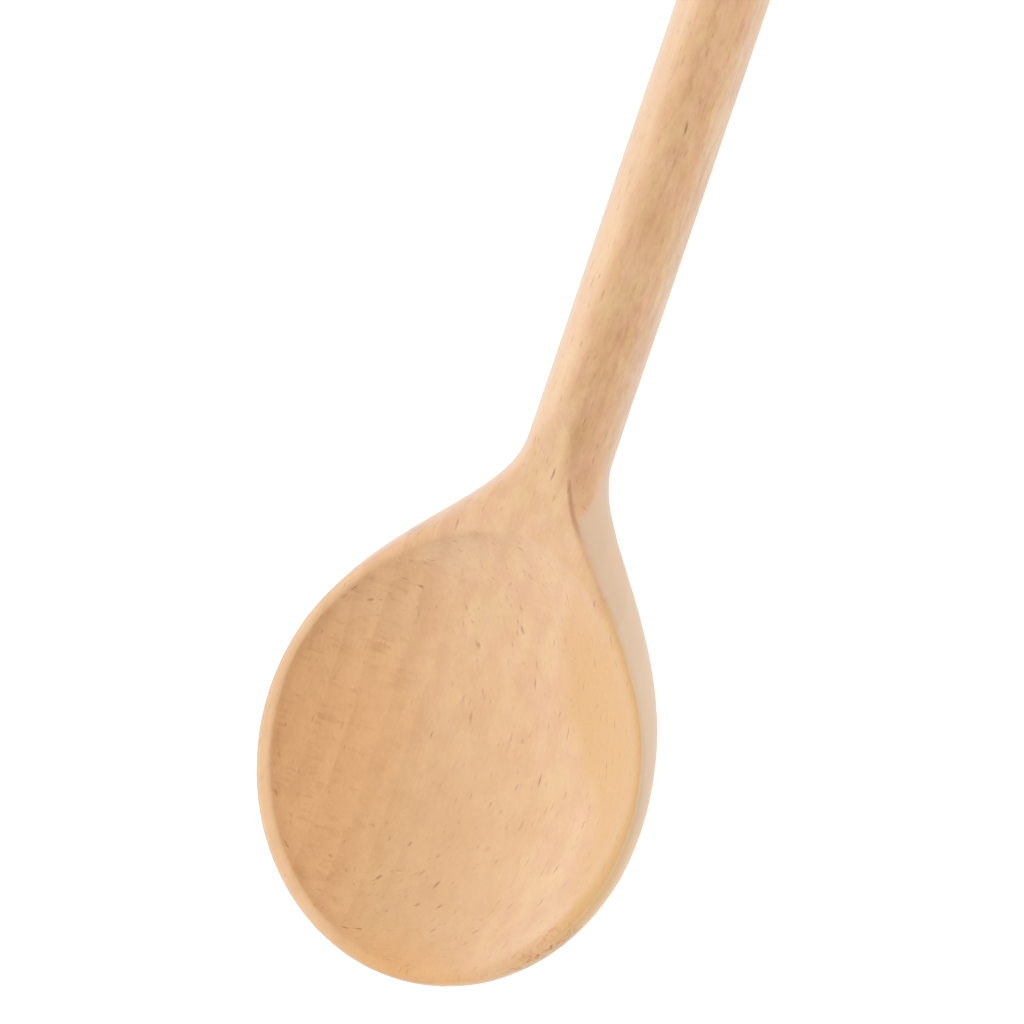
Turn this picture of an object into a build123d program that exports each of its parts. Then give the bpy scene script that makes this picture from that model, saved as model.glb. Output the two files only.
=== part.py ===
from build123d import *
import os
from math import cos, pi, sin, sqrt

# A wooden spoon turned and milled from one board of beech.
# Millimetres. It lies on its back: the table is Z 0, the hollow opens towards +Z,
# the tip of the bowl points along -X and the free end of the handle along +X.
# The origin is under the middle of its length.

# Whole spoon
overall_length = 300.0
board_thickness = 11.0

# Handle
handle_diameter = 12.0
handle_end_radius = 4.5

# Outline of the bowl seen from above
bowl_width = 60.0
tip_to_widest = 30.5
tip_to_neck = 75.5
shoulder_reach = 24.2
neck_reach = 10.6

# Side of the bowl: how far its widest line lies under the flat face,
# the height that the side would crown above that line if the face didn't cut it,
# and how far from the tip the back touches the table
side_drop = 1.4
side_crown = 7.6
tip_to_lowest = 42.0
height_follows_width_share = 1.5

# Flat face of the rim and neck, and the arc where the cut runs out on the handle
tip_to_run_out = 71.5
run_out_radius = 30.0

# Hollow
rim_width_at_tip = 2.0
rim_width_at_side = 2.1
tip_to_hollow_end = 62.4
hollow_depth = 6.5
hollow_centre_above_face = 3.5
hollow_narrowing_share = 0.2

# Sanded edges
rim_edge_radius = 0.6
hollow_edge_radius = 0.5

# Tools that cut the board reach this far past it
overrun = 5.0

# Number of sections along each stretch of the bowl
tip_sections = 9
flare_sections = 12
hollow_sections = 18

# Slack for telling which edges lie in the flat face
tolerance = 0.01

handle_radius = handle_diameter / 2
bowl_half_width = bowl_width / 2
tip_x = -overall_length / 2
face_z = board_thickness
widest_z = face_z - side_drop


def flare_point(step_share):
    """Distance from the tip and half-width at a share of the curve from bowl to handle."""
    left = 1 - step_share
    near = left**3
    shoulder = 3 * left**2 * step_share
    neck = 3 * left * step_share**2
    far = step_share**3
    reach = (
        near * tip_to_widest
        + shoulder * (tip_to_widest + shoulder_reach)
        + neck * (tip_to_neck - neck_reach)
        + far * tip_to_neck
    )
    half_width = (near + shoulder) * bowl_half_width + (neck + far) * handle_radius
    return reach, half_width


def back_rise_share(reach):
    """Share of its full depth that the back has at this distance from the tip."""
    if reach >= tip_to_lowest:
        return 1.0
    return sqrt(1 - (1 - reach / tip_to_lowest) ** 2)


def oval_face(half_width, above, below):
    """Oval of two half ellipses that meet at its widest line."""
    upper = EllipticalCenterArc((0, 0), half_width, above, start_angle=0, arc_size=180)
    lower = EllipticalCenterArc((0, 0), half_width, below, start_angle=180, arc_size=180)
    return make_face([upper, lower])


def body_section(reach, half_width, crown_share):
    """Upright oval section, wider than high, that becomes the round handle."""
    width_share = (half_width - handle_radius) / (bowl_half_width - handle_radius)
    if reach < tip_to_widest:
        width_share = 1.0
    bowl_share = width_share**height_follows_width_share
    centre_z = handle_radius + bowl_share * (widest_z - handle_radius)
    above = (handle_radius + bowl_share * (side_crown - handle_radius)) * crown_share
    below = centre_z * back_rise_share(reach)
    plane = Plane(origin=(tip_x + reach, 0, centre_z), x_dir=(0, 1, 0), z_dir=(1, 0, 0))
    return plane * oval_face(half_width, above, below)


def make_bowl_block():
    """Bowl and neck as one smooth form, before the face and the hollow are cut."""
    sections = [Vertex(tip_x, 0, widest_z)]
    for step in range(1, tip_sections + 1):
        turn = pi / 2 * step / tip_sections
        reach = tip_to_widest * (1 - cos(turn))
        sections.append(body_section(reach, bowl_half_width * sin(turn), sin(turn)))
    for step in range(1, flare_sections + 1):
        reach, half_width = flare_point(step / flare_sections)
        sections.append(body_section(reach, half_width, 1.0))
    return loft(sections)


def make_handle():
    """Round handle whose free end is rounded over."""
    plane = Plane(origin=(tip_x + tip_to_neck, 0, handle_radius), z_dir=(1, 0, 0))
    length = overall_length - tip_to_neck
    rod = Cylinder(handle_radius, length, align=(Align.CENTER, Align.CENTER, Align.MIN))
    free_end = rod.faces().sort_by(Axis.Z)[-1]
    return plane * fillet(free_end.edges(), handle_end_radius)


def make_face_cutter():
    """Everything above the flat face, ending in the arc that climbs to the top of the handle."""
    start_x = tip_x - overrun
    arc_x = tip_x + tip_to_run_out
    top_z = widest_z + side_crown + overrun
    half_span = bowl_half_width + overrun
    rise = handle_diameter - face_z + overrun
    run = sqrt(run_out_radius**2 - (run_out_radius - rise) ** 2)
    arc_end = (arc_x + run, face_z + rise)
    outline = [
        Line((start_x, face_z), (arc_x, face_z)),
        TangentArc((arc_x, face_z), arc_end, tangent=(1, 0)),
        Line(arc_end, (arc_x + run, top_z)),
        Line((arc_x + run, top_z), (start_x, top_z)),
        Line((start_x, top_z), (start_x, face_z)),
    ]
    return extrude(Plane.XZ * make_face(outline), amount=half_span, both=True)


def make_hollow_cutter():
    """Egg-shaped ball, narrower towards the neck, whose middle is held above the face."""
    half_length = (tip_to_hollow_end - rim_width_at_tip) / 2
    half_width = bowl_half_width - rim_width_at_side
    ball_depth = hollow_depth + hollow_centre_above_face
    spread = 1 / sqrt(1 - (hollow_centre_above_face / ball_depth) ** 2)
    centre_x = tip_x + rim_width_at_tip + half_length
    centre_z = face_z + hollow_centre_above_face
    ball_end = half_length * spread
    sections = [Vertex(centre_x - ball_end, 0, centre_z)]
    for step in range(1, hollow_sections):
        turn = pi * step / hollow_sections
        along_share = -cos(turn) * spread
        egg = 1 - hollow_narrowing_share * max(along_share, 0) ** 2
        station = centre_x + half_length * along_share
        plane = Plane(origin=(station, 0, centre_z), x_dir=(0, 1, 0), z_dir=(1, 0, 0))
        half_span = half_width * spread * sin(turn) * egg
        depth = ball_depth * sin(turn)
        sections.append(plane * oval_face(half_span, depth, depth))
    sections.append(Vertex(centre_x + ball_end, 0, centre_z))
    return loft(sections)


def edges_in_face(body):
    """Long edges that lie wholly in the flat face: outside of the rim, then the hollow."""
    flat = body.edges().filter_by_position(Axis.Z, face_z - tolerance, face_z + tolerance)
    return flat.filter_by(lambda edge: edge.length > bowl_width).sort_by(Edge.length)


def make_spoon():
    body = make_bowl_block() + make_handle()
    body -= make_face_cutter()
    body -= make_hollow_cutter()
    body = fillet(edges_in_face(body)[-1:], rim_edge_radius)
    body = fillet(edges_in_face(body)[:1], hollow_edge_radius)
    return body


os.makedirs("parts", exist_ok=True)
spoon = make_spoon()
export_step(spoon, "parts/spoon.step")
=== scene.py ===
from math import cos, pi, radians, sin, sqrt
from types import SimpleNamespace

import bpy
from mathutils import Matrix, Vector


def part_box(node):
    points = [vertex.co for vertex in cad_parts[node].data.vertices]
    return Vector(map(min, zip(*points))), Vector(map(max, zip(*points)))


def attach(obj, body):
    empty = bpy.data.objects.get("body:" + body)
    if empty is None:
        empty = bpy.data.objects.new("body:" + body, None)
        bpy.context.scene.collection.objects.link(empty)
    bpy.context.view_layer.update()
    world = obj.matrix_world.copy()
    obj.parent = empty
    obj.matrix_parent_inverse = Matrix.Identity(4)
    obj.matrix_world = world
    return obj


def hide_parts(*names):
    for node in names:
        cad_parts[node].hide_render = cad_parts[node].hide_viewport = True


# A wooden spoon of one piece of beech, lying on its back on a white table.
# The tip of the bowl points along -X, the free end of the handle along +X.

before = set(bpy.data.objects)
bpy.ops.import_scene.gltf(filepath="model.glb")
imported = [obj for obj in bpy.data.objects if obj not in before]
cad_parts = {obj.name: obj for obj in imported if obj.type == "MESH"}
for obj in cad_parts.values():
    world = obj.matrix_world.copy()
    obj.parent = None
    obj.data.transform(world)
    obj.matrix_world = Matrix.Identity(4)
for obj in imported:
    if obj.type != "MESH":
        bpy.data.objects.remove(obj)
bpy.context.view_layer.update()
low_corner, high_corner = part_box("spoon")

MM = 0.001

# Size of the spoon
TIP_X = low_corner.x
HANDLE_END_X = high_corner.x
HANDLE_RADIUS = 6.0 * MM
HANDLE_END_RADIUS = 4.5 * MM
BOWL_HALF_WIDTH = 30.0 * MM
TIP_TO_WIDEST = 30.5 * MM
TIP_TO_NECK = 75.5 * MM
SHOULDER_REACH = 24.2 * MM
NECK_REACH = 10.6 * MM
FACE_Z = 11.0 * MM
WIDEST_Z = 9.6 * MM
SIDE_CROWN = 7.6 * MM
TIP_TO_LOWEST = 42.0 * MM
HEIGHT_FOLLOWS_WIDTH = 1.5
TIP_TO_RUN_OUT = 71.5 * MM
RUN_OUT_RADIUS = 30.0 * MM
RIM_AT_TIP = 2.0 * MM
RIM_AT_SIDE = 2.1 * MM
TIP_TO_HOLLOW_END = 62.4 * MM
HOLLOW_DEPTH = 6.5 * MM
BALL_CENTRE_ABOVE_FACE = 3.5 * MM
HOLLOW_NARROWING = 0.2

# Fineness of the blank and of its cutters
SECTION_POINTS = 128
TIP_SECTIONS = 24
FLARE_SECTIONS = 40
HANDLE_SECTIONS = 40
END_SECTIONS = 10
BALL_SEGMENTS = 112
BALL_RINGS = 84
WHEEL_SEGMENTS = 360
OVERRUN = 5.0 * MM
# Places nearer than these count as the same one
SAME_PLACE = 0.0001 * MM
SAME_RING = 1e-4
HAIR = 1e-6 * MM
# Sanding: an even mesh, smoothed a little all over, more away from the edges of the face,
# and most along the right edge of the hollow
EVEN_MESH_SIZE = 0.345 * MM
SMOOTH_FACTOR = 0.5
FIRST_PASSES = 1
OPEN_PASSES = 4
SOFT_PASSES = 12
EDGE_BAND = 0.9 * MM
SOFT_SIDE = 14.0 * MM
SOFT_DEPTH = 3.0 * MM
RIM_KEPT_SHARP = 1.4 * MM
OUTLINE_STEPS = 400
# The closely meshed bowl and neck end here, and the plain handle starts after a small gap
TIP_TO_JOIN = 88.0 * MM
JOIN_GAP = 0.4 * MM
# The open ends of the two blanks are told by their places, with this much slack
TIP_SLACK = 0.1 * MM
END_SLACK = 0.001 * MM
# Unevenness left by sanding by hand
UNEVEN_HEIGHT = 0.1 * MM
UNEVEN_LENGTH = 5.0 * MM

# Camera: turned to the right of the spoon's face and a little towards the handle
CAMERA_TURN = radians(27.753)
CAMERA_LEAN = radians(4.388)
CAMERA_ROLL = radians(-18.767)
CAMERA_DISTANCE = 800 * MM
CAMERA_AIM = Vector((-85.373, 5.132, 6.392)) * MM
CAMERA_LENS = 207.77
SENSOR_WIDTH = 36.0
NEAREST_SEEN = 0.01
FARTHEST_SEEN = 100

# Studio: a white table, room light, and square lights that all point at the neck.
# The table glows more for the camera than for the wood, so it is white without washing out the spoon.
TABLE_LENGTH = 6
TABLE_WHITE = (0.92, 0.92, 0.92, 1)
TABLE_ROUGHNESS = 0.9
TABLE_GLOW_ON_WOOD = 0.12
TABLE_GLOW_SEEN = 0.6
PURE_WHITE = (1, 1, 1, 1)
ROOM_LIGHT = 0.4
LIGHT_LENGTH = 0.7
LIGHT_TARGET = (-0.1, 0, 0)
# place in metres and power in watts
LIGHTS = {
    "left_window": ((-0.1, 0.95, 0.6), 5.2),
    "right_window": ((0.6, -0.7, 0.5), 5.5),
    "tip_left": ((-0.8, 0.7, 0.5), 4.2),
    "tip_side": ((-1.1, 0, 0.6), 1.05),
}


def nothing_selected():
    if bpy.context.object and bpy.context.object.mode != "OBJECT":
        bpy.ops.object.mode_set(mode="OBJECT")
    bpy.ops.object.select_all(action="DESELECT")


def select_points(piece, wanted):
    """Selects the vertices of a piece in edit mode for which wanted(place) holds."""
    bpy.ops.object.mode_set(mode="OBJECT")
    for point in piece.data.vertices:
        point.select = wanted(point.co)
    for edge in piece.data.edges:
        edge.select = False
    for face in piece.data.polygons:
        face.select = False
    bpy.ops.object.mode_set(mode="EDIT")


def apply_modifier(piece, kind, **settings):
    nothing_selected()
    bpy.context.view_layer.objects.active = piece
    piece.select_set(True)
    modifier = piece.modifiers.new(kind.lower(), kind)
    for name, value in settings.items():
        setattr(modifier, name, value)
    bpy.ops.object.modifier_apply(modifier=modifier.name)


def apply_place(piece):
    nothing_selected()
    bpy.context.view_layer.objects.active = piece
    piece.select_set(True)
    bpy.ops.object.transform_apply(location=True, rotation=True, scale=True)


def flare_point(share):
    """Distance from the tip and half-width at a share of the curve from bowl to handle."""
    left = 1 - share
    near, shoulder, neck, far = left**3, 3 * left**2 * share, 3 * left * share**2, share**3
    reach = near * TIP_TO_WIDEST + shoulder * (TIP_TO_WIDEST + SHOULDER_REACH)
    reach += neck * (TIP_TO_NECK - NECK_REACH) + far * TIP_TO_NECK
    return reach, (near + shoulder) * BOWL_HALF_WIDTH + (neck + far) * HANDLE_RADIUS


def back_rise(reach):
    """Share of its full depth that the back has at this distance from the tip."""
    if reach >= TIP_TO_LOWEST:
        return 1.0
    return sqrt(1 - (1 - reach / TIP_TO_LOWEST) ** 2)


def body_section(reach, half_width, crown_share):
    """X, half-width, middle height, height above it and depth below it of one oval section."""
    width_share = (half_width - HANDLE_RADIUS) / (BOWL_HALF_WIDTH - HANDLE_RADIUS)
    if reach < TIP_TO_WIDEST:
        width_share = 1.0
    bowl_share = max(width_share, 0) ** HEIGHT_FOLLOWS_WIDTH
    middle_z = HANDLE_RADIUS + bowl_share * (WIDEST_Z - HANDLE_RADIUS)
    above = (HANDLE_RADIUS + bowl_share * (SIDE_CROWN - HANDLE_RADIUS)) * crown_share
    return TIP_X + reach, half_width, middle_z, above, middle_z * back_rise(reach)


def bowl_sections():
    """Sections from the tip to a little past the place where the handle is joined on."""
    sections = []
    for step in range(1, TIP_SECTIONS + 1):
        turn = pi / 2 * step / TIP_SECTIONS
        reach = TIP_TO_WIDEST * (1 - cos(turn))
        sections.append(body_section(reach, BOWL_HALF_WIDTH * sin(turn), sin(turn)))
    for step in range(1, FLARE_SECTIONS + 1):
        reach, half_width = flare_point(step / FLARE_SECTIONS)
        sections.append(body_section(reach, half_width, 1.0))
    sections.append(body_section(TIP_TO_JOIN + OVERRUN, HANDLE_RADIUS, 1.0))
    return sections


def handle_sections():
    """Round sections from the join to the rounded free end."""
    sections = []
    start_x, end_x = TIP_X + TIP_TO_JOIN + JOIN_GAP, HANDLE_END_X - HANDLE_END_RADIUS
    for step in range(HANDLE_SECTIONS):
        x = start_x + (end_x - start_x) * step / HANDLE_SECTIONS
        sections.append((x, HANDLE_RADIUS, HANDLE_RADIUS, HANDLE_RADIUS, HANDLE_RADIUS))
    for step in range(END_SECTIONS + 1):
        turn = pi / 2 * step / END_SECTIONS
        radius = HANDLE_RADIUS - HANDLE_END_RADIUS * (1 - cos(turn))
        x = end_x + HANDLE_END_RADIUS * sin(turn)
        sections.append((x, radius, HANDLE_RADIUS, radius, radius))
    return sections


def turn_blank(name, sections):
    """A tube through upright oval sections, open at both ends."""
    nothing_selected()
    quarter_turn = (0, radians(90), 0)
    blank = None
    for x, half_width, middle_z, above, below in sections:
        place = (x, 0, middle_z)
        bpy.ops.mesh.primitive_circle_add(
            vertices=SECTION_POINTS, radius=1, location=place, rotation=quarter_turn
        )
        if blank is None:
            blank = bpy.context.object
            blank.name = name
            apply_place(blank)
            bpy.ops.object.mode_set(mode="EDIT")
            bpy.ops.mesh.select_all(action="SELECT")
        bpy.ops.transform.resize(value=(1, half_width, above), center_override=place)
        select_points(blank, lambda co: abs(co.x - x) < SAME_PLACE and co.z < middle_z - HAIR)
        bpy.ops.transform.resize(value=(1, 1, below / above), center_override=place)
    bpy.ops.mesh.select_mode(type="EDGE")
    bpy.ops.mesh.select_all(action="SELECT")
    bpy.ops.mesh.bridge_edge_loops(type="SINGLE")
    bpy.ops.object.mode_set(mode="OBJECT")
    return blank


def close_ends(piece, wanted):
    """Fills the open ends for which wanted(place) holds."""
    nothing_selected()
    bpy.context.view_layer.objects.active = piece
    piece.select_set(True)
    bpy.ops.object.mode_set(mode="EDIT")
    bpy.ops.mesh.select_mode(type="VERT")
    select_points(piece, wanted)
    bpy.ops.mesh.edge_face_add()
    bpy.ops.mesh.select_all(action="SELECT")
    bpy.ops.mesh.normals_make_consistent(inside=False)
    bpy.ops.object.mode_set(mode="OBJECT")


def cut_away(piece, cutter):
    """Takes the cutter's volume out of the piece, and the cutter away."""
    apply_modifier(piece, "BOOLEAN", operation="DIFFERENCE", solver="EXACT", object=cutter)
    bpy.data.objects.remove(cutter)


def plane_face(piece):
    """Planes the bowl and neck flat, with the arc where the cut runs out on the handle."""
    start_x, arc_x = TIP_X - OVERRUN, TIP_X + TIP_TO_RUN_OUT
    top_z, half_span = FACE_Z + SIDE_CROWN + OVERRUN, BOWL_HALF_WIDTH + OVERRUN
    nothing_selected()
    middle = ((start_x + arc_x) / 2, 0, (FACE_Z + top_z) / 2)
    lengths = (arc_x - start_x, 2 * half_span, top_z - FACE_Z)
    bpy.ops.mesh.primitive_cube_add(size=1, location=middle, scale=lengths)
    cut_away(piece, bpy.context.object)
    nothing_selected()
    bpy.ops.mesh.primitive_cylinder_add(
        vertices=WHEEL_SEGMENTS, radius=RUN_OUT_RADIUS, depth=2 * half_span,
        location=(arc_x, 0, FACE_Z + RUN_OUT_RADIUS), rotation=(radians(90), 0, 0),
    )
    cut_away(piece, bpy.context.object)


def mill_hollow(piece):
    """Mills the egg-shaped hollow with a flattened ball that narrows towards the neck."""
    half_length = (TIP_TO_HOLLOW_END - RIM_AT_TIP) / 2
    ball_depth = HOLLOW_DEPTH + BALL_CENTRE_ABOVE_FACE
    spread = 1 / sqrt(1 - (BALL_CENTRE_ABOVE_FACE / ball_depth) ** 2)
    centre = Vector((TIP_X + RIM_AT_TIP + half_length, 0, FACE_Z + BALL_CENTRE_ABOVE_FACE))
    half_width = (BOWL_HALF_WIDTH - RIM_AT_SIDE) * spread
    nothing_selected()
    bpy.ops.mesh.primitive_uv_sphere_add(
        segments=BALL_SEGMENTS, ring_count=BALL_RINGS, radius=1, rotation=(0, radians(90), 0)
    )
    ball = bpy.context.object
    apply_place(ball)
    bpy.ops.object.mode_set(mode="EDIT")
    bpy.ops.mesh.select_mode(type="VERT")
    for ring in range(1, BALL_RINGS // 2):
        along = cos(pi * ring / BALL_RINGS)
        egg = 1 - HOLLOW_NARROWING * (along * spread) ** 2
        select_points(ball, lambda co: abs(co.x - along) < SAME_RING)
        bpy.ops.transform.resize(value=(1, egg, 1), center_override=(0, 0, 0))
    bpy.ops.mesh.select_all(action="SELECT")
    half_sizes = (half_length * spread, half_width, ball_depth)
    bpy.ops.transform.resize(value=half_sizes, center_override=(0, 0, 0))
    bpy.ops.transform.translate(value=centre)
    bpy.ops.object.mode_set(mode="OBJECT")
    cut_away(piece, ball)


def outline_half_width(x):
    """Half-width of the spoon seen from above, read between the sections."""
    places = [(TIP_X, 0.0)] + [(section[0], section[1]) for section in bowl_sections()]
    for (x_1, half_1), (x_2, half_2) in zip(places, places[1:]):
        if x <= x_2:
            return half_1 + (half_2 - half_1) * (x - x_1) / (x_2 - x_1)
    return HANDLE_RADIUS


def smooth_points(piece, name, points, passes):
    """Smooths the vertices with the given numbers, and leaves the others."""
    chosen = piece.vertex_groups.new(name=name)
    chosen.add(points, 1.0, "REPLACE")
    apply_modifier(piece, "SMOOTH", factor=SMOOTH_FACTOR, iterations=passes, vertex_group=name)


def sand(piece):
    """An even, close mesh: hardly smoothed at its edges, more elsewhere and along the right of the hollow."""
    apply_modifier(piece, "REMESH", mode="VOXEL", voxel_size=EVEN_MESH_SIZE, use_smooth_shade=True)
    apply_modifier(piece, "SMOOTH", factor=SMOOTH_FACTOR, iterations=FIRST_PASSES)
    reaches = [TIP_TO_JOIN * step / OUTLINE_STEPS for step in range(OUTLINE_STEPS + 1)]
    inner_half = [outline_half_width(TIP_X + reach) - RIM_KEPT_SHARP for reach in reaches]
    open_faces, soft_edge = [], []
    for point in piece.data.vertices:
        x, y, z = point.co
        if z < FACE_Z - EDGE_BAND or x > TIP_X + TIP_TO_RUN_OUT:
            open_faces.append(point.index)
        step = max(0, min(OUTLINE_STEPS, int(OUTLINE_STEPS * (x - TIP_X) / TIP_TO_JOIN)))
        in_rim = -inner_half[step] < y < -SOFT_SIDE
        if in_rim and z > FACE_Z - SOFT_DEPTH and x < TIP_X + TIP_TO_HOLLOW_END:
            soft_edge.append(point.index)
    smooth_points(piece, "open_faces", open_faces, OPEN_PASSES)
    smooth_points(piece, "soft_edge", soft_edge, SOFT_PASSES)
    piece.vertex_groups.clear()


def join_handle(piece, handle):
    """Cuts the overlong neck square and joins the round handle to it."""
    nothing_selected()
    bpy.context.view_layer.objects.active = piece
    piece.select_set(True)
    bpy.ops.object.mode_set(mode="EDIT")
    bpy.ops.mesh.select_all(action="SELECT")
    join_x = TIP_X + TIP_TO_JOIN
    bpy.ops.mesh.bisect(plane_co=(join_x, 0, 0), plane_no=(1, 0, 0), clear_outer=True)
    bpy.ops.object.mode_set(mode="OBJECT")
    handle.select_set(True)
    bpy.ops.object.join()
    bpy.ops.object.mode_set(mode="EDIT")
    bpy.ops.mesh.select_mode(type="EDGE")
    bpy.ops.mesh.select_all(action="DESELECT")
    bpy.ops.mesh.select_non_manifold(extend=False)
    bpy.ops.mesh.bridge_edge_loops(type="SINGLE")
    bpy.ops.mesh.select_all(action="SELECT")
    bpy.ops.mesh.normals_make_consistent(inside=False)
    bpy.ops.object.mode_set(mode="OBJECT")
    bpy.ops.object.shade_smooth()


def wave_surface(piece):
    """Slight unevenness, as sanding by hand leaves it."""
    waves = bpy.data.textures.new("hand_sanding", "CLOUDS")
    waves.noise_scale = UNEVEN_LENGTH
    waves.noise_depth = 1
    apply_modifier(
        piece, "DISPLACE", texture=waves, texture_coords="LOCAL", strength=UNEVEN_HEIGHT, mid_level=0.5
    )


def socket_of(value):
    """The output socket that a value stands for, if it stands for one."""
    if isinstance(value, bpy.types.Node):
        return next(output for output in value.outputs if output.enabled)
    return value if isinstance(value, bpy.types.NodeSocket) else None


def add_node(tree, kind, settings=None, **inputs):
    """A node with its settings, and its inputs given by name as a number, a colour or another node."""
    node = tree.nodes.new("ShaderNode" + kind)
    for name, value in (settings or {}).items():
        setattr(node, name, value)
    for name, value in inputs.items():
        place = int(name[1:]) if name[0] == "_" else name.replace("_", " ")
        source = socket_of(value)
        if source:
            tree.links.new(source, node.inputs[place])
        else:
            node.inputs[place].default_value = value
    return node


def maths(tree, operation, first, second=0.0, third=0.0):
    return add_node(tree, "Math", {"operation": operation}, _0=first, _1=second, _2=third)


def vectors(tree, operation, first, second=(0, 0, 0)):
    return add_node(tree, "VectorMath", {"operation": operation}, _0=first, _1=second)


def smooth_step(tree, value, low, high, to_low=0.0, to_high=1.0):
    """Smooth change from one value to another between two limits."""
    settings = {"interpolation_type": "SMOOTHSTEP"}
    return add_node(
        tree, "MapRange", settings, Value=value, From_Min=low, From_Max=high, To_Min=to_low, To_Max=to_high
    )


def rise(tree, value, low, high):
    """0 below the low limit, 1 above the high one."""
    return smooth_step(tree, value, low, high)


def fall(tree, value, low, high):
    """1 below the low limit, 0 above the high one."""
    return smooth_step(tree, value, low, high, 1.0, 0.0)


def both(tree, *masks):
    """Where all the masks lie."""
    product = masks[0]
    for mask in masks[1:]:
        product = maths(tree, "MULTIPLY", product, mask)
    return product


def noise(tree, place, stretch, detail=2.0, roughness=0.5, offset=(0, 0, 0)):
    """Noise in the wood, whose lumps have the size of stretch in millimetres."""
    moved = vectors(tree, "ADD", vectors(tree, "DIVIDE", place, stretch), offset)
    return add_node(tree, "TexNoise", Vector=moved, Scale=1.0, Detail=detail, Roughness=roughness)


def mix_colours(tree, share, first, second):
    node = tree.nodes.new("ShaderNodeMix")
    node.data_type = "RGBA"
    for place, value in ((0, share), (6, first), (7, second)):
        source = socket_of(value)
        if source:
            tree.links.new(source, node.inputs[place])
        else:
            node.inputs[place].default_value = value
    return node.outputs[2]


def new_group(name, inputs, outputs):
    """A node group with its inputs, outputs and ends."""
    group = bpy.data.node_groups.new(name, "ShaderNodeTree")
    for label, kind, value in inputs:
        socket = group.interface.new_socket(name=label, in_out="INPUT", socket_type="NodeSocket" + kind)
        socket.default_value = value
    for label, kind in outputs:
        group.interface.new_socket(name=label, in_out="OUTPUT", socket_type="NodeSocket" + kind)
    return group, group.nodes.new("NodeGroupInput"), group.nodes.new("NodeGroupOutput")


# Single blades of rays and pores: their size and strength, least and on top of that by chance
BLADE_SIZE = (0.45, 0.7)
BLADE_STRENGTH = (0.4, 0.6)


def make_flecks_group():
    """Rays and pores: thin blades scattered in the wood, cut open wherever the surface meets them."""
    group, given, result = new_group(
        "beech_flecks",
        [
            ("Place", "Vector", (0, 0, 0)),
            ("Spacing", "Vector", (5, 1, 10)),
            ("Half Size", "Vector", (1, 0.1, 4)),
            ("Share", "Float", 0.5),
            ("Softness", "Float", 0.6),
        ],
        [("Mask", "Float")],
    )
    cells = vectors(group, "DIVIDE", given.outputs["Place"], given.outputs["Spacing"])
    blades = add_node(group, "TexVoronoi", {"feature": "F1"}, Vector=cells, Scale=1.0, Randomness=1.0)
    off = vectors(group, "SUBTRACT", cells, blades.outputs["Position"])
    off = vectors(group, "MULTIPLY", off, given.outputs["Spacing"])
    chance = add_node(group, "SeparateColor", Color=blades.outputs["Color"])
    least, more = BLADE_SIZE
    grown = maths(group, "MULTIPLY_ADD", chance.outputs["Green"], more, least)
    off = vectors(group, "DIVIDE", off, given.outputs["Half Size"])
    reach = maths(group, "DIVIDE", vectors(group, "LENGTH", off).outputs["Value"], grown)
    inner = maths(group, "SUBTRACT", 1.0, given.outputs["Softness"])
    blade = fall(group, reach, inner, 1.0)
    present = maths(group, "LESS_THAN", chance.outputs["Red"], given.outputs["Share"])
    least, more = BLADE_STRENGTH
    strength = maths(group, "MULTIPLY_ADD", chance.outputs["Blue"], more, least)
    mask = both(group, blade, present, strength)
    group.links.new(mask.outputs[0], result.inputs["Mask"])
    return group


def flecks(tree, group, place, spacing, half_size, share, softness=0.6):
    node = tree.nodes.new("ShaderNodeGroup")
    node.node_tree = group
    tree.links.new(socket_of(place), node.inputs["Place"])
    node.inputs["Spacing"].default_value = spacing
    node.inputs["Half Size"].default_value = half_size
    node.inputs["Share"].default_value = share
    node.inputs["Softness"].default_value = softness
    return node


# Beech, in linear colour
PALE_WOOD = (0.875, 0.55, 0.287, 1)
ROSY_WOOD = (0.825, 0.475, 0.24, 1)
HEART_WOOD = (0.845, 0.455, 0.184, 1)
TIP_WOOD = (0.75, 0.425, 0.172, 1)
YELLOW_WOOD = (0.78, 0.435, 0.145, 1)
# pale wood for the pale flecks, and painted light on the handle's left, on the rim's top and in a spot on the
# hollow's wall
SAP_WHITE_AND_PAINTED_LIGHT = (0.97, 0.68, 0.42, 1)
END_BROWN = (0.70, 0.22, 0.05, 1)
SIDE_WOOD_AND_PAINTED_REFLECTION = (0.80, 0.60, 0.43, 1)
SIDE_END = (1.0, 0.67, 0.34, 1)
# Shades, which multiply the colour of the wood that they lie on; some of them also serve as painted shade or
# painted light
COOL_BLUSH = (1.0, 0.98, 1.02, 1)
WARM_BLUSH = (1.0, 1.015, 0.96, 1)
# darker wood for rings, streaks and mottling, and painted shade on the handle's right, at the neck and below
# the left rim's inner edge
STREAK_AND_PAINTED_SHADE = (0.75, 0.61, 0.49, 1)
# darker flakes in the wood, and painted shade on the bowl's outer left side
FLAKE_AND_PAINTED_SHADE = (0.80, 0.68, 0.56, 1)
RAY_SHADE = (0.50, 0.30, 0.16, 1)
PORE_SHADE = (0.62, 0.48, 0.38, 1)
# painted shade for the crease along the neck's right edge
CREASE_PAINTED_SHADE = (0.62, 0.48, 0.36, 1)
# painted reflection of the white table, paling and greying a surface
PAINTED_TABLE_REFLECTION = (1.02, 1.13, 1.33, 1)
TIP_WARMTH = (1.05, 0.935, 0.71, 1)
# painted shade for facets on the bowl's right side
FIRST_FACET_PAINTED_SHADE = (0.955, 0.90, 0.84, 1)
LAST_FACET_PAINTED_SHADE = (1.01, 1.02, 1.02, 1)

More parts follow.
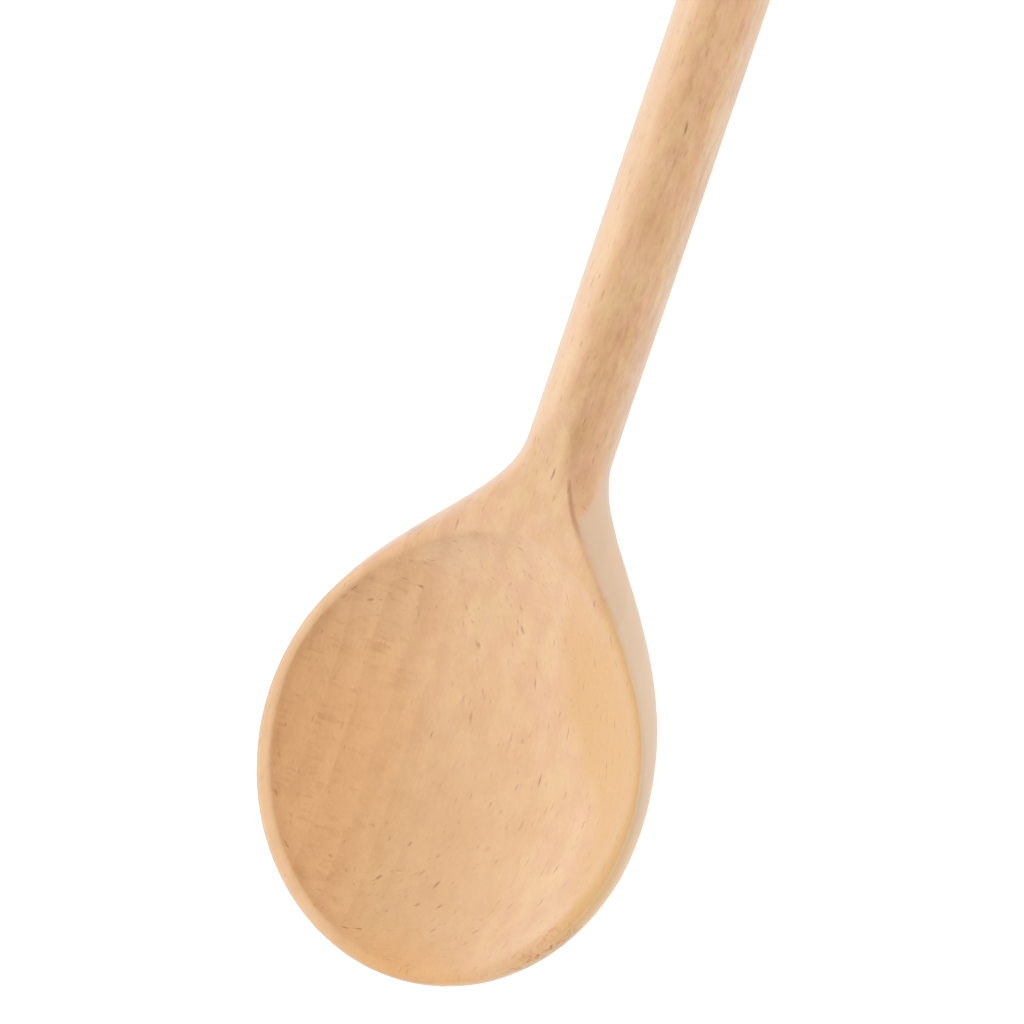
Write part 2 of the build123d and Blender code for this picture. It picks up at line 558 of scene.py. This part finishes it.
# Places in the wood, in millimetres: along (the tip is at -150), across (the right is negative)
# and above the table
TIP_TONE = (-132, -100)
TIP_TONE_ACROSS = (-20, 0)
HEART_START = (4, 19)
HEART_ALONG = (-120, -102)
BAND_EDGE_ALONG = (-125, -99)
BAND_EDGE_ACROSS = (-23, -9)
BAND_SOFTNESS = (-5.5, 0)
BAND_START = (-100, -86)
HANDLE_START = (-84, -66)
FLAKES_BELOW = (10.5, 10.85)
ARCH_END = (-66.6, -65.6)
ARCH_SLOPE = 1.6
SIDE_START_ALONG = (-100, -86)
SIDE_END_ALONG = (-124, -112)
SIDE_ALONG = (-133, -111)
FACET_START = 66.1
FACET_LENGTH = 5.6
FACETS_ALONG = (-112, -94)
CREASE_TOP = (-79, -77.5)
CREASE_FULL = (-86.5, -83)
CREASE_END = (-100, -90)
RIM_LINE_RISE = (9.7, 10.5)
RIM_LINE_FALL = (10.72, 10.86)
RIM_LINE_END = (-110, -96)
RIM_TOP = (10.82, 10.95)
RIM_TOP_END = (-108, -92)
RUN_OUT_TOP = (10.8, 10.95)
WARM_TIP_ALONG = (-149, -141)
WARM_TIP_ACROSS = (-2, 10)
# Soft spots: middle and size
PAINTED_LIGHT_SPOT = ((-92, 10, 9.5), (11, 6, 4))
NECK_STREAK_AND_SHADE = ((-74.5, -2.9, 11), (7.5, 1.5, 6))
NECK_SIDE_STREAK_AND_SHADE = ((-79, -5.2, 9), (6, 3, 3.5))
RUN_OUT = ((-137.5, -22.5, 10.5), (9, 7, 5))

# Growth rings: how they lean in the board, their spacing and where they start
RING_TILT = radians(74)
RING_SPACING = 4.4
RING_SHIFT = -2.9

# Finish: bare wood has a soft sheen like cloth, and its fibres stand up a little
SHEEN = 0.85
SHEEN_ROUGHNESS = 0.57
SMOOTH_FIBRE = 0.5
ROUGH_FIBRE = 0.62
RELIEF_STRENGTH = 0.35
RELIEF_DEPTH = 0.03 * MM
MIDDLE_GREY = (0.5, 0.5, 0.5)


def tint(tree, colour, mask, strength, second):
    """Mixes a second colour into the wood by a mask of a given strength."""
    return mix_colours(tree, maths(tree, "MULTIPLY", mask, strength), colour, second)


def stain(tree, colour, mask, strength, shade):
    """Multiplies the wood by a shade, where the mask lies."""
    shaded = vectors(tree, "MULTIPLY", colour, shade[:3])
    return mix_colours(tree, maths(tree, "MULTIPLY", mask, strength), colour, shaded)


def spot(tree, place, middle, size):
    """Soft spot, 1 in its middle and 0 past its size."""
    off = vectors(tree, "DIVIDE", vectors(tree, "SUBTRACT", place, middle), size)
    return fall(tree, vectors(tree, "LENGTH", off).outputs["Value"], 0.3, 1.0)


def wander(tree, place, stretch, reach):
    """Moves a place about by noise, so that what follows it isn't straight."""
    drift = noise(tree, place, stretch, detail=2.0)
    drift = vectors(tree, "SUBTRACT", drift.outputs["Color"], MIDDLE_GREY)
    return vectors(tree, "ADD", place, vectors(tree, "MULTIPLY", drift, reach))


def find_places(tree):
    """Places on the spoon and in its wood, in millimetres, and the way that the surface faces."""
    coordinates = add_node(tree, "TexCoord")
    straight = vectors(tree, "SCALE", coordinates.outputs["Object"])
    straight.inputs["Scale"].default_value = 1 / MM
    axes = add_node(tree, "SeparateXYZ", Vector=straight)
    facing = add_node(tree, "SeparateXYZ", Vector=coordinates.outputs["Normal"])
    # wood: along the fibres, between the rays, and outwards through the rings
    place = wander(tree, straight, (60, 14, 14), (0, 3.5, 3.5))
    wood = add_node(tree, "Mapping", {"vector_type": "POINT"}, Vector=place, Rotation=(RING_TILT, 0, 0))
    wood = wander(tree, wood, (1.8, 0.9, 0.9), (0.4, 0.2, 0.4))
    return SimpleNamespace(
        straight=straight,
        along=axes.outputs["X"],
        across=axes.outputs["Y"],
        height=axes.outputs["Z"],
        normal=coordinates.outputs["Normal"],
        facing_end=facing.outputs["X"],
        facing_left=facing.outputs["Y"],
        facing_up=facing.outputs["Z"],
        wood=wood,
        outward=add_node(tree, "SeparateXYZ", Vector=wood).outputs["Z"],
        ring_wave=noise(tree, wood, (18, 5, 5), detail=3.0, roughness=0.6).outputs["Fac"],
    )


def colour_board(tree, at):
    """Soft clouds of pale and rosy wood, with deeper heartwood at the left of the board and at its end, and a
    spot of painted light on the hollow's wall near the neck.
    """
    clouds = noise(tree, at.wood, (8, 3.0, 3.6), detail=4.0, roughness=0.6)
    colour = mix_colours(tree, rise(tree, clouds.outputs["Fac"], 0.34, 0.66), PALE_WOOD, ROSY_WOOD)
    blush = noise(tree, at.wood, (5, 2.2, 2.6), detail=3.0, roughness=0.6, offset=(17, 3, 8))
    blush = mix_colours(tree, rise(tree, blush.outputs["Fac"], 0.35, 0.65), COOL_BLUSH, WARM_BLUSH)
    colour = vectors(tree, "MULTIPLY", colour, blush)
    right_less = smooth_step(tree, at.across, *TIP_TONE_ACROSS, 0.2, 1.0)
    colour = tint(tree, colour, both(tree, fall(tree, at.along, *TIP_TONE), right_less), 0.75, TIP_WOOD)
    neck_less = smooth_step(tree, at.along, *HEART_ALONG, 1.0, 0.55)
    heart = both(tree, rise(tree, at.outward, *HEART_START), neck_less)
    colour = tint(tree, colour, heart, 0.9, HEART_WOOD)
    # painted light: a paler spot on the wall near the hollow's end, where it lies darker
    return tint(tree, colour, spot(tree, at.straight, *PAINTED_LIGHT_SPOT), 0.3, SAP_WHITE_AND_PAINTED_LIGHT)


def draw_rings(tree, at, colour):
    """Growth rings, plainest in the heartwood, broken, each with its own slight tone."""
    place = maths(tree, "MULTIPLY_ADD", at.ring_wave, 1.8, at.outward)
    count = maths(tree, "DIVIDE", maths(tree, "ADD", place, RING_SHIFT), RING_SPACING)
    share = maths(tree, "FRACT", count)
    late = both(tree, rise(tree, share, 0.2, 0.92), fall(tree, share, 0.92, 1.0))
    own_tone = add_node(tree, "TexWhiteNoise", {"noise_dimensions": "1D"}, W=maths(tree, "FLOOR", count))
    late = maths(tree, "MULTIPLY_ADD", own_tone.outputs["Value"], 0.35, late)
    plain = smooth_step(tree, at.outward, 0.0, 16.0, 0.05, 0.42)
    broken = noise(tree, at.wood, (9, 3, 5), detail=2.0, roughness=0.6, offset=(1, 6, 14))
    broken = smooth_step(tree, broken.outputs["Fac"], 0.36, 0.60, 0.35, 1.0)
    colour = stain(tree, colour, both(tree, late, plain, broken), 0.62, STREAK_AND_PAINTED_SHADE)
    mottle = noise(tree, at.wood, (3.4, 2.0, 2.6), detail=3.0, roughness=0.65, offset=(9, 9, 3))
    return stain(tree, colour, rise(tree, mottle.outputs["Fac"], 0.42, 0.62), 0.14, STREAK_AND_PAINTED_SHADE)


def lay_yellow_band(tree, at, colour):
    """A yellower band that narrows from the right of the neck towards the tip."""
    edge = smooth_step(tree, at.along, *BAND_EDGE_ALONG, *BAND_EDGE_ACROSS)
    edge = maths(tree, "MULTIPLY_ADD", at.ring_wave, 5.0, edge)
    band = fall(tree, maths(tree, "SUBTRACT", at.across, edge), *BAND_SOFTNESS)
    return tint(tree, colour, both(tree, band, fall(tree, at.along, *BAND_START)), 0.9, YELLOW_WOOD)


def colour_handle(tree, at, colour):
    """The handle: painted light on its left and painted shade on its right, as from a light at the left, with
    long soft streaks, patchy and broken, and a painted reflection of the white table along its lower right
    edge.
    """
    on_handle = rise(tree, at.along, *HANDLE_START)
    patches = noise(tree, at.wood, (3.4, 0.8, 1.1), detail=3.0, roughness=0.65, offset=(8, 1, 5))
    patches = smooth_step(tree, patches.outputs["Fac"], 0.36, 0.68, 0.15, 1.0)
    uneven = maths(tree, "MULTIPLY_ADD", at.ring_wave, 3.0, at.across)
    left = both(tree, rise(tree, uneven, 1.0, 3.0), on_handle)
    right = both(tree, fall(tree, uneven, -1.0, 1.0), on_handle)
    # painted light on the handle's lit left
    colour = tint(tree, colour, left, 0.42, SAP_WHITE_AND_PAINTED_LIGHT)
    # painted shade on the handle's right, broken by the patches
    colour = stain(tree, colour, both(tree, right, patches), 0.35, STREAK_AND_PAINTED_SHADE)
    streaks = noise(tree, at.wood, (16, 0.9, 1.6), detail=3.0, roughness=0.6, offset=(4, 9, 2))
    streaks = both(tree, rise(tree, streaks.outputs["Fac"], 0.47, 0.70), patches, on_handle)
    colour = stain(tree, colour, streaks, 0.45, STREAK_AND_PAINTED_SHADE)
    # dark spots at the neck: partly a streak in the wood, partly painted shade where the handle's right side
    # turns from the light
    colour = stain(tree, colour, spot(tree, at.straight, *NECK_STREAK_AND_SHADE), 0.5, STREAK_AND_PAINTED_SHADE)
    colour = stain(tree, colour, spot(tree, at.straight, *NECK_SIDE_STREAK_AND_SHADE), 0.4, STREAK_AND_PAINTED_SHADE)
    # painted reflection: the handle's lower right edge paler and greyer, as the white table shows in it
    return stain(tree, colour, both(tree, fall(tree, at.facing_up, 0.1, 0.6), right), 1.0, PAINTED_TABLE_REFLECTION)


def cut_rays_and_pores(tree, at, colour):
    """Rays and pores, cut open. The rays fade where the surface lies flat to them."""
    group = make_flecks_group()

    def scattered(shift, spacing, half_size, share, softness=0.6):
        place = vectors(tree, "ADD", at.wood, shift)
        return flecks(tree, group, place, spacing, half_size, share, softness)

    across_rays = (0, cos(RING_TILT), -sin(RING_TILT))
    flat_to_rays = vectors(tree, "DOT_PRODUCT", at.normal, across_rays).outputs["Value"]
    upright = fall(tree, maths(tree, "ABSOLUTE", flat_to_rays), 0.964, 0.988)
    broad = flecks(tree, group, at.wood, (3.6, 0.95, 2.0), (1.3, 0.08, 0.75), 0.55, 0.8)
    small = scattered((31, 17, 5), (1.9, 0.55, 1.4), (0.8, 0.065, 0.5), 0.7, 0.8)
    pores = scattered((7, 53, 11), (1.2, 0.3, 0.3), (0.42, 0.05, 0.05), 0.5)
    dashes = scattered((5, 31, 29), (3.0, 0.8, 0.8), (0.9, 0.09, 0.14), 0.5, 0.7)
    pale = scattered((3, 23, 41), (2.1, 0.6, 2.6), (0.5, 0.05, 1.1), 0.5, 0.7)
    rays = maths(tree, "MAXIMUM", maths(tree, "MULTIPLY", small, 0.6), broad)
    rays = both(tree, rays, upright)
    colour = tint(tree, colour, pale, 0.28, SAP_WHITE_AND_PAINTED_LIGHT)
    colour = stain(tree, colour, pores, 0.24, PORE_SHADE)
    dark = maths(tree, "MAXIMUM", rays, maths(tree, "MULTIPLY", dashes, 0.7))
    return stain(tree, colour, dark, 0.85, RAY_SHADE), rays, pores


def scatter_flakes(tree, at, colour):
    """Short, soft flakes across the fibres on the left wall, in rows that follow the rings."""
    flakes = noise(tree, at.wood, (0.8, 3.2, 3.6), detail=1.5, roughness=0.5, offset=(11, 2, 6))
    flakes = rise(tree, flakes.outputs["Fac"], 0.50, 0.68)
    rows = noise(tree, at.wood, (7, 2.5, 2.2), detail=2.0, offset=(2, 12, 9))
    rows = smooth_step(tree, rows.outputs["Fac"], 0.40, 0.62, 0.15, 1.0)
    in_heart = rise(tree, at.outward, *HEART_START)
    in_hollow = fall(tree, at.height, *FLAKES_BELOW)
    return stain(tree, colour, both(tree, flakes, rows, in_heart, in_hollow), 0.5, FLAKE_AND_PAINTED_SHADE)


def darken_end_grain(tree, at, colour):
    """End grain, where the surface faces along the fibres."""
    end_grain = rise(tree, maths(tree, "ABSOLUTE", at.facing_end), 0.4, 0.95)
    specks = noise(tree, at.wood, (1.2, 0.3, 0.7), detail=3.0, roughness=0.6)
    specks = smooth_step(tree, specks.outputs["Fac"], 0.45, 0.66, 0.12, 0.8)
    return tint(tree, colour, both(tree, end_grain, specks), 0.8, END_BROWN)


def colour_right_side_with_painted_light(tree, at, colour):
    """The bowl's right side: paler and greyer than its face, partly a paler wood and partly a painted
    reflection of the white table, with painted shade in slight facets towards the neck.
    """
    facing_right = both(tree, at.facing_left, fall(tree, at.across, -3.5, -2.5))
    slope = maths(tree, "MULTIPLY_ADD", at.height, ARCH_SLOPE, at.along)
    start = smooth_step(tree, at.along, *SIDE_START_ALONG, -0.14, -0.38)
    on_side = fall(tree, maths(tree, "SUBTRACT", facing_right, start), -0.14, 0.02)
    on_side = both(tree, on_side, fall(tree, slope, *ARCH_END))
    at_end = both(tree, on_side, fall(tree, at.along, *SIDE_END_ALONG))
    colour = tint(tree, colour, at_end, 0.5, SIDE_END)
    on_side = both(tree, on_side, rise(tree, at.along, *SIDE_ALONG))
    # paler, greyer side: partly paler wood, partly a painted reflection of the white table
    colour = tint(tree, colour, on_side, 0.85, SIDE_WOOD_AND_PAINTED_REFLECTION)
    # painted shade: bands of tone like facets turned differently to the light, which the smooth shape doesn't
    # have
    facet = maths(tree, "DIVIDE", maths(tree, "ADD", slope, FACET_START), FACET_LENGTH)
    painted_facet_shade = fall(tree, maths(tree, "FLOOR", facet), -4.0, -1.0)
    painted_facet_shade = mix_colours(tree, painted_facet_shade, FIRST_FACET_PAINTED_SHADE, LAST_FACET_PAINTED_SHADE)
    near_neck = both(tree, on_side, rise(tree, at.along, *FACETS_ALONG))
    colour = mix_colours(tree, near_neck, colour, vectors(tree, "MULTIPLY", colour, painted_facet_shade))
    # painted shade: a dark line down the right edge of the neck, where the crease would lie in shadow
    painted_crease_shade = both(
        tree,
        rise(tree, facing_right, -0.52, -0.38),
        fall(tree, facing_right, -0.26, -0.05),
        smooth_step(tree, at.along, *CREASE_FULL, 0.2, 1.0),
        rise(tree, at.along, *CREASE_END),
        fall(tree, at.along, *CREASE_TOP),
    )
    return stain(tree, colour, painted_crease_shade, 0.62, CREASE_PAINTED_SHADE)


def paint_shade_and_light_on_left_rim(tree, at, colour):
    """Painted shade and light on the bowl's left: its outer side a little darker against the light, its rim
    darker below its inner edge and paler on top.
    """
    painted_shade_left_side = both(tree, rise(tree, at.facing_left, 0.15, 0.6), rise(tree, at.across, 6.0, 9.0))
    # painted shade on the outer left side, which faces the light
    colour = stain(tree, colour, painted_shade_left_side, 0.45, FLAKE_AND_PAINTED_SHADE)
    painted_shade_below_edge = both(
        tree,
        rise(tree, at.height, *RIM_LINE_RISE),
        fall(tree, at.height, *RIM_LINE_FALL),
        rise(tree, at.across, 2.0, 12.0),
        fall(tree, at.facing_left, -0.2, -0.1),
        fall(tree, at.along, *RIM_LINE_END),
    )
    # painted shade: a dark line just below the rim's inner edge, where the wall falls away into shadow
    colour = stain(tree, colour, painted_shade_below_edge, 0.3, STREAK_AND_PAINTED_SHADE)
    on_left = rise(tree, at.across, 6.0, 12.0)
    painted_light_rim_top = both(tree, rise(tree, at.height, *RIM_TOP), on_left, fall(tree, at.along, *RIM_TOP_END))
    # painted light on the flat top of the left rim
    return tint(tree, colour, painted_light_rim_top, 0.3, SAP_WHITE_AND_PAINTED_LIGHT)


def speckle_tip(tree, at, colour):
    """Brown specks along the edge where the fibres run out at the right of the tip."""
    rounded_over = both(tree, fall(tree, at.facing_up, 0.80, 0.99), fall(tree, at.facing_left, -0.08, 0.0))
    on_top = smooth_step(tree, at.height, *RUN_OUT_TOP, 0.0, 0.6)
    on_edge = maths(tree, "MAXIMUM", rounded_over, on_top)
    run_out = both(tree, spot(tree, at.straight, *RUN_OUT), on_edge)
    specks = noise(tree, at.wood, (1.2, 0.5, 0.9), detail=3.0, roughness=0.65, offset=(3, 3, 3))
    specks = smooth_step(tree, specks.outputs["Fac"], 0.47, 0.62, 0.05, 1.0)
    colour = tint(tree, colour, run_out, 0.3, YELLOW_WOOD)
    colour = tint(tree, colour, both(tree, specks, run_out), 0.9, END_BROWN)
    warm_tip = both(tree, fall(tree, at.along, *WARM_TIP_ALONG), fall(tree, at.across, *WARM_TIP_ACROSS))
    return stain(tree, colour, warm_tip, 1.0, TIP_WARMTH)


def raise_fibres(tree, surface, fibres, rays, pores):
    """Fibres and open pores in relief, a roughness that follows the fibres, and a soft sheen."""
    relief = maths(tree, "MULTIPLY_ADD", fibres, 0.6, maths(tree, "MULTIPLY", pores, -0.5))
    relief = maths(tree, "MULTIPLY_ADD", rays, -0.6, relief)
    bump = add_node(tree, "Bump", Strength=RELIEF_STRENGTH, Distance=RELIEF_DEPTH, Height=relief)
    tree.links.new(bump.outputs["Normal"], surface.inputs["Normal"])
    rough = smooth_step(tree, fibres, 0.3, 0.7, SMOOTH_FIBRE, ROUGH_FIBRE)
    tree.links.new(rough.outputs["Result"], surface.inputs["Roughness"])
    surface.inputs["Sheen Weight"].default_value = SHEEN
    surface.inputs["Sheen Roughness"].default_value = SHEEN_ROUGHNESS


def make_beech():
    """Sanded, bare beech: fibres along the handle, with rings and rays that lean across the bowl."""
    material = bpy.data.materials.new("beech")
    material.use_nodes = True
    tree = material.node_tree
    surface = tree.nodes["Principled BSDF"]
    at = find_places(tree)
    colour = colour_board(tree, at)
    colour = draw_rings(tree, at, colour)
    colour = lay_yellow_band(tree, at, colour)
    colour = colour_handle(tree, at, colour)
    # fine, short fibres
    fibres = noise(tree, at.wood, (1.3, 0.17, 0.4), detail=3.0, roughness=0.6).outputs["Fac"]
    colour = vectors(tree, "MULTIPLY", colour, smooth_step(tree, fibres, 0.28, 0.72, 0.965, 1.025))
    colour, rays, pores = cut_rays_and_pores(tree, at, colour)
    colour = scatter_flakes(tree, at, colour)
    colour = darken_end_grain(tree, at, colour)
    colour = colour_right_side_with_painted_light(tree, at, colour)
    colour = paint_shade_and_light_on_left_rim(tree, at, colour)
    colour = speckle_tip(tree, at, colour)
    tree.links.new(socket_of(colour), surface.inputs["Base Color"])
    raise_fibres(tree, surface, fibres, rays, pores)
    return material


def place_camera():
    """The photograph's viewing angle, with the spoon leaning to the right in the picture."""
    lean, turn, roll = CAMERA_LEAN, CAMERA_TURN, CAMERA_ROLL
    back = Vector((sin(lean), -sin(turn) * cos(lean), cos(turn) * cos(lean)))
    along = Vector((-1, 0, 0))
    down = (along - along.dot(back) * back).normalized()
    right = down.cross(-back)
    image_right = cos(roll) * right + sin(roll) * down
    image_down = cos(roll) * down - sin(roll) * right
    pose = Matrix((image_right, -image_down, back)).transposed().to_4x4()
    data = bpy.data.cameras.new("camera")
    data.lens = CAMERA_LENS
    data.sensor_width = SENSOR_WIDTH
    data.clip_start = NEAREST_SEEN
    data.clip_end = FARTHEST_SEEN
    camera = bpy.data.objects.new("camera", data)
    camera.matrix_world = Matrix.Translation(CAMERA_AIM + back * CAMERA_DISTANCE) @ pose
    bpy.context.scene.collection.objects.link(camera)
    bpy.context.scene.camera = camera


def soft_light(name, place, power):
    nothing_selected()
    bpy.ops.object.light_add(type="AREA", location=place)
    light = bpy.context.object
    light.name = name
    light.data.shape = "SQUARE"
    light.data.size = LIGHT_LENGTH
    light.data.energy = power
    light.rotation_euler = (Vector(place) - Vector(LIGHT_TARGET)).to_track_quat("Z", "Y").to_euler()


def make_table_white():
    """Matt white whose glow the camera sees more strongly than the wood does."""
    white = bpy.data.materials.new("white_table")
    white.use_nodes = True
    tree = white.node_tree
    thrown_back = tree.nodes["Principled BSDF"]
    seen = tree.nodes.new("ShaderNodeBsdfPrincipled")
    for paint, glow in ((thrown_back, TABLE_GLOW_ON_WOOD), (seen, TABLE_GLOW_SEEN)):
        paint.inputs["Base Color"].default_value = TABLE_WHITE
        paint.inputs["Roughness"].default_value = TABLE_ROUGHNESS
        paint.inputs["Emission Color"].default_value = PURE_WHITE
        paint.inputs["Emission Strength"].default_value = glow
    either = tree.nodes.new("ShaderNodeMixShader")
    rays = tree.nodes.new("ShaderNodeLightPath")
    tree.links.new(rays.outputs["Is Camera Ray"], either.inputs["Fac"])
    tree.links.new(thrown_back.outputs["BSDF"], either.inputs[1])
    tree.links.new(seen.outputs["BSDF"], either.inputs[2])
    tree.links.new(either.outputs["Shader"], tree.nodes["Material Output"].inputs["Surface"])
    return white


def make_studio():
    """White table, room light and four soft lights."""
    nothing_selected()
    bpy.ops.mesh.primitive_plane_add(size=TABLE_LENGTH, location=(0, 0, 0))
    floor = bpy.context.object
    floor.name = "floor"
    floor.data.materials.append(make_table_white())
    world = bpy.data.worlds.new("studio")
    bpy.context.scene.world = world
    world.use_nodes = True
    background = world.node_tree.nodes["Background"]
    background.inputs["Color"].default_value = PURE_WHITE
    background.inputs["Strength"].default_value = ROOM_LIGHT
    for name, (place, power) in LIGHTS.items():
        soft_light(name, place, power)
    bpy.context.scene.view_settings.view_transform = "Standard"


blank = turn_blank("spoon_wood", bowl_sections())
close_ends(blank, lambda co: co.x < TIP_X + TIP_SLACK or co.x > TIP_X + TIP_TO_JOIN)
plane_face(blank)
mill_hollow(blank)
sand(blank)
handle = turn_blank("handle", handle_sections())
close_ends(handle, lambda co: co.x > HANDLE_END_X - END_SLACK)
join_handle(blank, handle)
wave_surface(blank)
beech = make_beech()
blank.data.materials.clear()
blank.data.materials.append(beech)
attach(blank, "root")
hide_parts("spoon")
place_camera()
make_studio()
